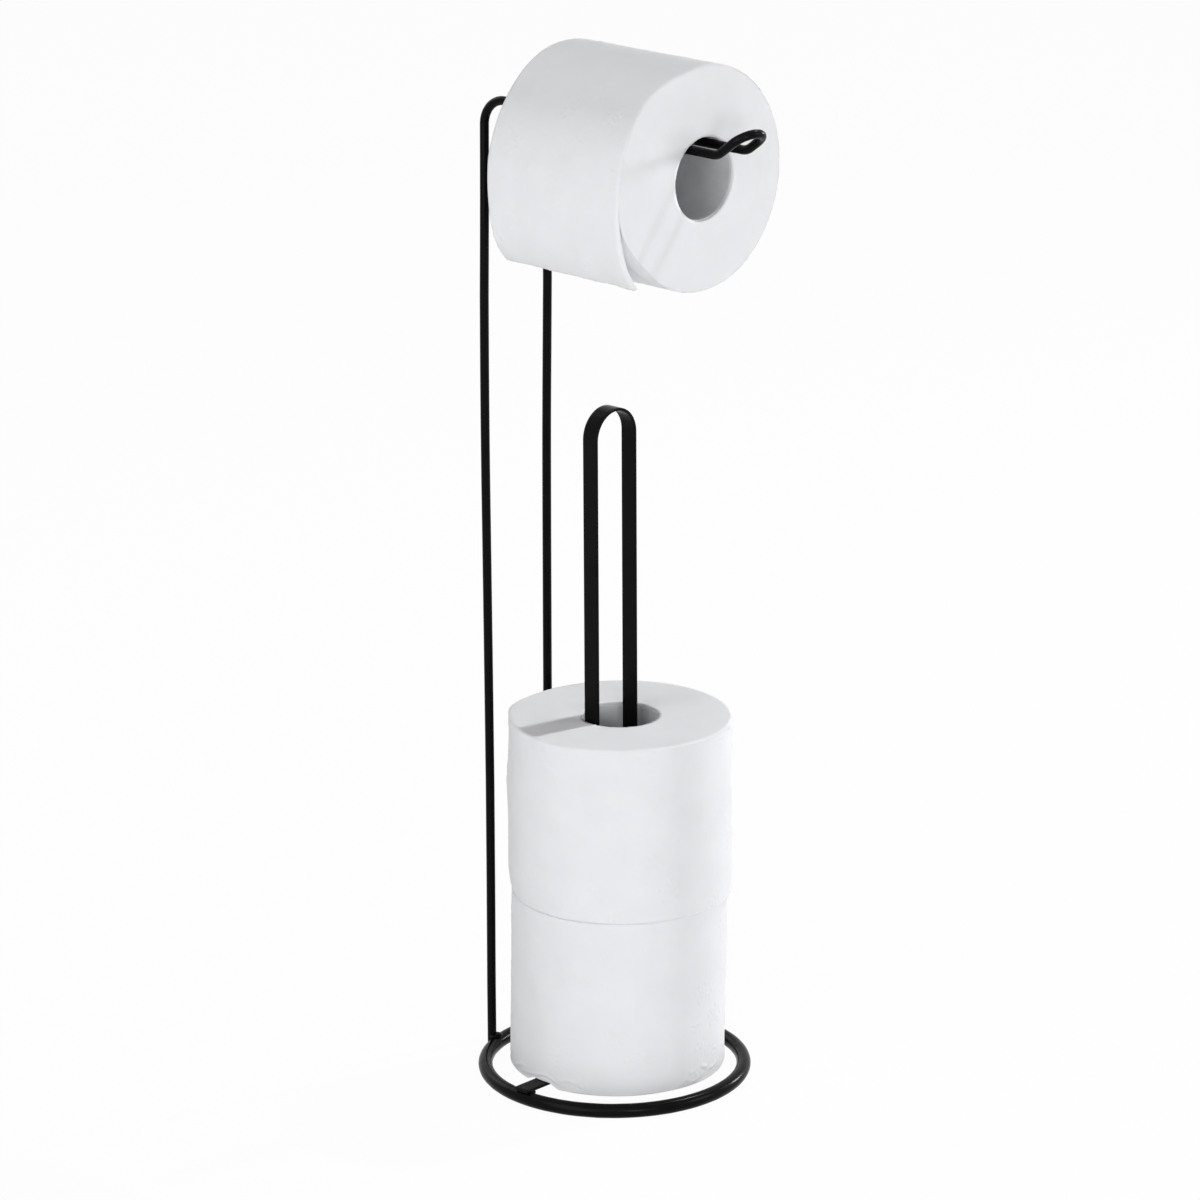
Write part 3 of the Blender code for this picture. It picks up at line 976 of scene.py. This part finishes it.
def hung_body(axis, width):
    """The wound body of the roll on the arm, below its last turn."""
    def outline(angle, share):
        covered = smooth((angle - covered_start) / covered_run)
        below = turn_pitch + (sheet_thickness + sheet_clearance) * covered
        return hung_roll_radius - below + slack(angle + last_turn_start_angle, share)

    def lip(angle, end):
        return torn_lip(hung_bore_lip, angle, 47 + end)

    rims = (hung_rim_radius, hung_rim_radius)
    places, faces, uvs, kinds = wound_roll(
        hung_roll_radius, width, rims, lip, 40, outline, hung_body_rows, hung_body_steps
    )
    far = np.hypot(places[..., 0], places[..., 1])
    turn = np.linspace(0, 2 * pi - step_width / hung_roll_radius, hung_body_steps)
    share = places[..., 2] / width
    world = hung_place(far, turn[None, :] + last_turn_start_angle, share, axis).reshape(-1, 3)
    mesh = quad_mesh("hung_roll_body", world, faces, uvs, kinds)
    materials = [tissue, tissue_end]
    add_piece("hung_roll_body", mesh, materials, "hung_roll", "paper", "hung_roll_paper")


def sheet_grid(axis, width):
    """The last sheet's outer and inner grid of points, and metres along it and across it."""
    rows = int(width / paper_step)
    columns = int((tail_back_end_angle - last_turn_start_angle) * hung_roll_radius / paper_step)
    share = np.linspace(0, 1, rows)[:, None]
    place = np.linspace(0, 1, columns)[None, :]
    end_angle = tail_back_end_angle + (tail_front_end_angle - tail_back_end_angle) * share
    drop = tail_back_drop + (tail_front_drop - tail_back_drop) * share
    torn = tear_depth * waves(share * width, 0 * share, 61, 20, 0.0015, 0.012) / hung_roll_radius
    angle = last_turn_start_angle + (end_angle + torn - last_turn_start_angle) * place
    tail_share = np.clip((angle - tail_leave_angle) / (end_angle - tail_leave_angle), 0, 1)
    turn_share = np.clip((angle - last_turn_start_angle) / (2 * pi), 0, 1)
    held = hung_roll_radius - turn_pitch + turn_pitch * turn_share + slack(angle, share)
    free = hung_roll_radius + lift_at(angle, share) + drop * smooth(tail_share)
    radius = np.where(angle > tail_leave_angle, free, held)
    u = angle * hung_roll_radius
    v = share * width + 0 * angle
    relief = emboss_depth * (embossed(u, v) - emboss_level)
    soft_share = np.clip(tail_share * 2 + 0.6, 0, 1)
    relief = relief + sheet_waves * waves(u, v, 41, 16, 0.012, 0.06) * soft_share
    relief = relief + sheet_ripples * waves(u, v, 42, 24, 0.003, 0.010)
    relief = relief + tail_waves * tail_share * waves(v, 0 * u, 43, 6, 0.02, 0.08)
    front_width = sheet_curl_width + tail_curl_width * tail_share
    back_curl = (1 - smooth(share * width / sheet_curl_width)) * (1 - smooth(tail_share * 4))
    front_curl = 1 - smooth((1 - share) * width / front_width)
    front_curl = front_curl * (1 + tail_curl_growth * smooth(tail_share * 2))
    outer = radius + relief - sheet_edge_curl * (back_curl + front_curl)
    inner = outer - sheet_thickness
    return [hung_place(far, angle, share, axis) for far in (outer, inner)], u, v


def hung_sheet(axis, width):
    """The last turn of the roll on the arm with its loose end, as a sheet of its own."""
    grids, u, v = sheet_grid(axis, width)
    rows, columns = u.shape
    count = rows * columns
    outer_faces = grid_faces(rows, columns)
    inner_faces = grid_faces(rows, columns, start=count)[:, ::-1]
    index = np.arange(count).reshape(rows, columns)
    rim = np.concatenate((index[0, :-1], index[:-1, -1], index[-1, :0:-1], index[:0:-1, 0]))
    following = np.roll(rim, -1)
    edge_faces = np.stack((following, rim, rim + count, following + count), axis=-1)
    outer_uvs = grid_uvs(u, v)
    flat = np.stack((u, v), axis=-1).reshape(-1, 2)
    edge_uvs = flat[np.stack((following, rim, rim, following), axis=-1)]
    faces = np.concatenate((outer_faces, inner_faces, edge_faces))
    uvs = np.concatenate((outer_uvs, outer_uvs[:, ::-1], edge_uvs))
    mesh = quad_mesh("hung_roll_last_sheet", np.stack(grids).reshape(-1, 3), faces, uvs)
    sheet = add_piece("hung_roll_last_sheet", mesh, [tissue], "hung_roll", "paper")


def hung_roll():
    """The roll on the arm: its wound body, and its last turn as a sheet."""
    low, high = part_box("hung_roll_paper")
    core_low, core_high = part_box("hung_roll_core")
    axis = ((core_low[0] + core_high[0]) / 2, (core_low[2] + core_high[2]) / 2, high[1], low[1])
    width = high[1] - low[1]
    hung_body(axis, width)
    hung_sheet(axis, width)


def core_tube(name, node, body, axis_way):
    """A spiral-wound cardboard tube, with the ridge of its seam running round inside."""
    low, high = (np.array(corner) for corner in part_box(node))
    centre = (low + high) / 2
    length = (high - low)[1 if axis_way == "Y" else 2] - 2 * bore_lip_depth
    angle = np.linspace(0, 2 * pi, tube_columns + 1)[None, :-1]
    inner = np.linspace(-0.5, 0.5, tube_rows)[:, None] * length
    seam = (inner / tube_spiral + angle / (2 * pi)) % 1
    groove = tube_groove * mound((seam - 0.5) * tube_spiral, tube_groove_half)
    groove = groove + tube_step * (seam > 0.5)
    uneven = tube_unevenness * round_waves(angle, inner, 77, 8, 2, 9, 0.05)
    outer = np.linspace(0.5, -0.5, tube_outer_rows)[:, None] * length
    outside = core_inner_radius + core_wall - tube_clearance
    far = np.concatenate((core_inner_radius + groove + uneven, outside + 0 * outer * angle))
    height = np.concatenate((inner + 0 * angle, outer + 0 * angle))
    across, up = far * np.cos(angle), far * np.sin(angle)
    faces = grid_faces(len(far), tube_columns, True, True)
    uvs = closed_uvs(np.broadcast_to(angle * core_inner_radius, far.shape), height)
    if axis_way == "Y":
        places = np.stack((across, height, up), axis=-1)
    else:
        places = np.stack((across, up, height), axis=-1)
        faces = faces[:, ::-1]
        uvs = uvs[:, ::-1]
    mesh = quad_mesh(name, places.reshape(-1, 3) + centre, faces, uvs)
    add_piece(name, mesh, [board], body, "core_board", node)


base_ring()
wire_frame()
spare_roll_post()
weld_bead("weld_upright_left", "upright_weld_left", 11)
weld_bead("weld_upright_right", "upright_weld_right", 12)
weld_bead("weld_post_left", "post_weld_left", 13)
weld_bead("weld_post_right", "post_weld_right", 14)
spare_roll(
    "lower_spare_roll", "lower_roll", "lower_roll_paper", lower_roll_radius,
    (standing_rim_radius, pressed_rim_radius), 21, radians(75),
    (lower_bulge_sizes, lower_right_sizes), lower_creases, False,
)
spare_roll(
    "upper_spare_roll", "upper_roll", "upper_roll_paper", upper_roll_radius,
    (pressed_rim_radius, free_rim_radius), 31, radians(95),
    (upper_bulge_sizes, upper_right_sizes), upper_creases, True,
)
hung_roll()
core_tube("hung_core_tube", "hung_roll_core", "hung_roll", "Y")
core_tube("lower_core_tube", "lower_roll_core", "lower_roll", "Z")
core_tube("upper_core_tube", "upper_roll_core", "upper_roll", "Z")


# ---------------------------------------------------------------- studio

def direction(azimuth, elevation):
    """Unit vector towards a place at an azimuth and elevation round the object."""
    level = cos(elevation)
    return Vector((sin(azimuth) * level, -cos(azimuth) * level, sin(elevation)))


def add_camera():
    """The photograph's camera."""
    lens = bpy.data.cameras.new("camera")
    lens.sensor_width = 36
    lens.lens = camera_lens
    lens.shift_x, lens.shift_y = camera_shift
    camera = bpy.data.objects.new("camera", lens)
    bpy.context.collection.objects.link(camera)
    away = direction(camera_azimuth, camera_elevation)
    camera.location = camera_target + away * camera_distance
    right = Vector((0, 0, 1)).cross(away).normalized()
    above = away.cross(right)
    turned_right = right * cos(camera_roll) + above * sin(camera_roll)
    turned_above = above * cos(camera_roll) - right * sin(camera_roll)
    axes = Matrix((turned_right, turned_above, away)).transposed()
    camera.rotation_euler = axes.to_euler()
    bpy.context.scene.camera = camera


def add_light(name, azimuth, elevation, distance, size, power):
    """A soft box that faces the middle of the object."""
    lamp = bpy.data.lights.new(name, "AREA")
    lamp.shape = "DISK"
    lamp.size = size
    lamp.energy = power
    holder = bpy.data.objects.new(name, lamp)
    bpy.context.collection.objects.link(holder)
    away = direction(radians(azimuth), radians(elevation))
    holder.location = camera_target + away * distance
    holder.rotation_euler = away.to_track_quat("Z", "Y").to_euler()


def seen_directly(tree):
    """A socket that is 1 for rays of the eye, in gloss and through glass, and 0 for light."""
    rays = tree.nodes.new("ShaderNodeLightPath").outputs
    seen = rays["Is Camera Ray"]
    for kind in ("Is Glossy Ray", "Is Transmission Ray"):
        either = tree.nodes.new("ShaderNodeMath")
        either.operation = "MAXIMUM"
        tree.links.new(seen, either.inputs[0])
        tree.links.new(rays[kind], either.inputs[1])
        seen = either.outputs[0]
    return seen


def floor_material():
    """A pale floor that shows as white to the eye and in gloss, and lights nothing by it."""
    n = Nodes("studio_floor")
    n.shader.inputs["Base Color"].default_value = (floor_grey, floor_grey, floor_grey, 1)
    n.shader.inputs["Roughness"].default_value = 1
    glow = n.add("Emission")
    glow.inputs["Color"].default_value = (1, 1, 1, 1)
    glow.inputs["Strength"].default_value = 1
    part = n.add("Math", operation="MULTIPLY")
    n.link(seen_directly(n.tree), part.inputs[0])
    part.inputs[1].default_value = floor_glow_share
    mix = n.add("MixShader")
    n.link(part.outputs[0], mix.inputs[0])
    n.link(n.shader.outputs[0], mix.inputs[1])
    n.link(glow.outputs[0], mix.inputs[2])
    n.link(mix.outputs[0], n.tree.nodes["Material Output"].inputs["Surface"])
    return n.material


def add_floor():
    """A plain pale floor."""
    mesh = bpy.data.meshes.new("floor")
    corners = [(x * floor_half, y * floor_half, 0) for x, y in ((-1, -1), (1, -1), (1, 1), (-1, 1))]
    mesh.from_pydata(corners, [], [(0, 1, 2, 3)])
    floor = bpy.data.objects.new("floor", mesh)
    bpy.context.collection.objects.link(floor)
    mesh.materials.append(floor_material())


def set_world():
    """White to the eye and in gloss, and a soft even light otherwise."""
    world = bpy.data.worlds.new("studio")
    bpy.context.scene.world = world
    world.use_nodes = True
    tree = world.node_tree
    back = tree.nodes["Background"]
    back.inputs["Color"].default_value = (1, 1, 1, 1)
    strength = tree.nodes.new("ShaderNodeMapRange")
    strength.inputs["To Min"].default_value = world_level
    strength.inputs["To Max"].default_value = 1.0
    tree.links.new(seen_directly(tree), strength.inputs["Value"])
    tree.links.new(strength.outputs["Result"], back.inputs["Strength"])


add_camera()
add_floor()
set_world()
for name, settings in soft_boxes.items():
    add_light(name, *settings)
bpy.context.scene.view_settings.view_transform = "Standard"
